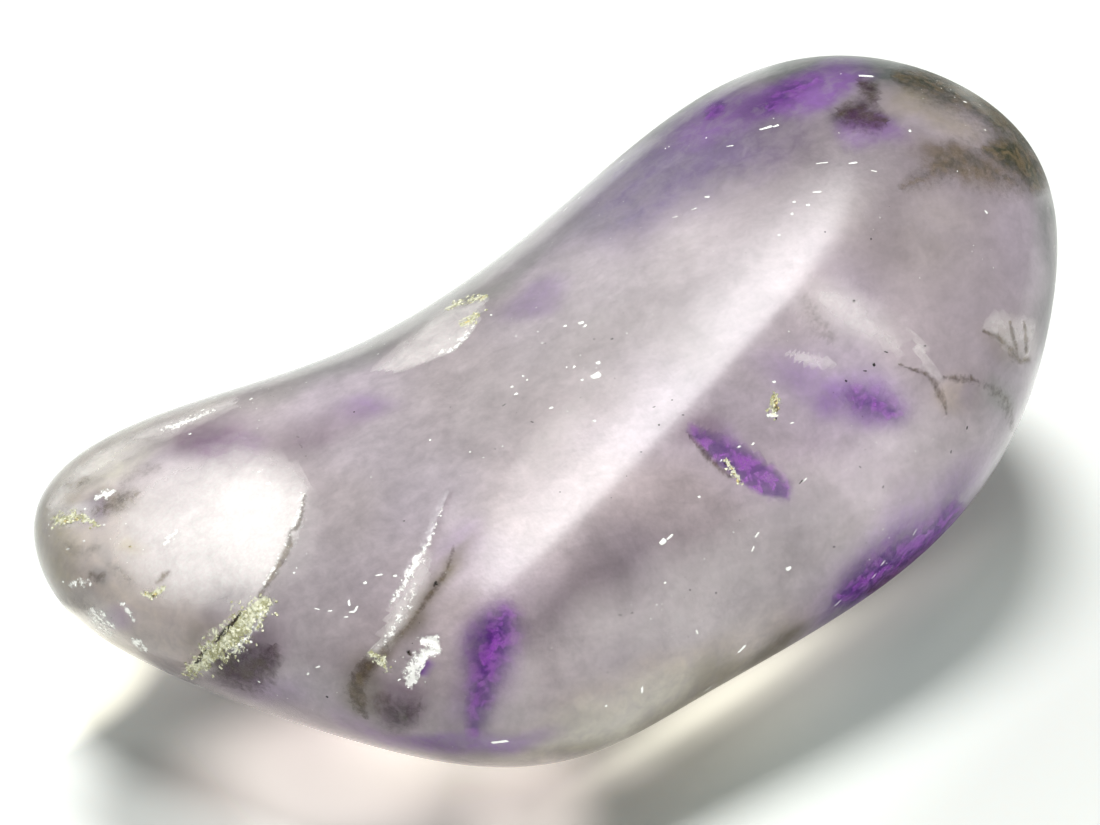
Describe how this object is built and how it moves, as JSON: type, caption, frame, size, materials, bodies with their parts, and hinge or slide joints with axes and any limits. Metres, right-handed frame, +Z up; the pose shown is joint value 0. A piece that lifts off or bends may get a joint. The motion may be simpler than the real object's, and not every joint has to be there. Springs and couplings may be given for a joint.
{
  "type": "tumbled stone",
  "caption": "Polished bean-shaped pebble of see-through amethyst quartz with purple streaks, white veils and healed cracks; a loose decorative stone that rests on a small worn flat.",
  "frame": {"origin": "centre of the bounding box at its bottom, on the surface the stone rests on", "axes": "+X from the thin blunt end to the thick rounded end, +Y to the hollowed side, +Z up as the stone rests"},
  "size_m": [0.0436, 0.026, 0.0182],
  "materials": {
    "polished_amethyst": "tumbled to a wet-looking polish; cloudy see-through pale lilac quartz with purple streaks, white veils and brown stained cracks"
  },
  "bodies": {
    "root": {"tumbled_stone": "polished_amethyst"}
  },
  "joints": []
}
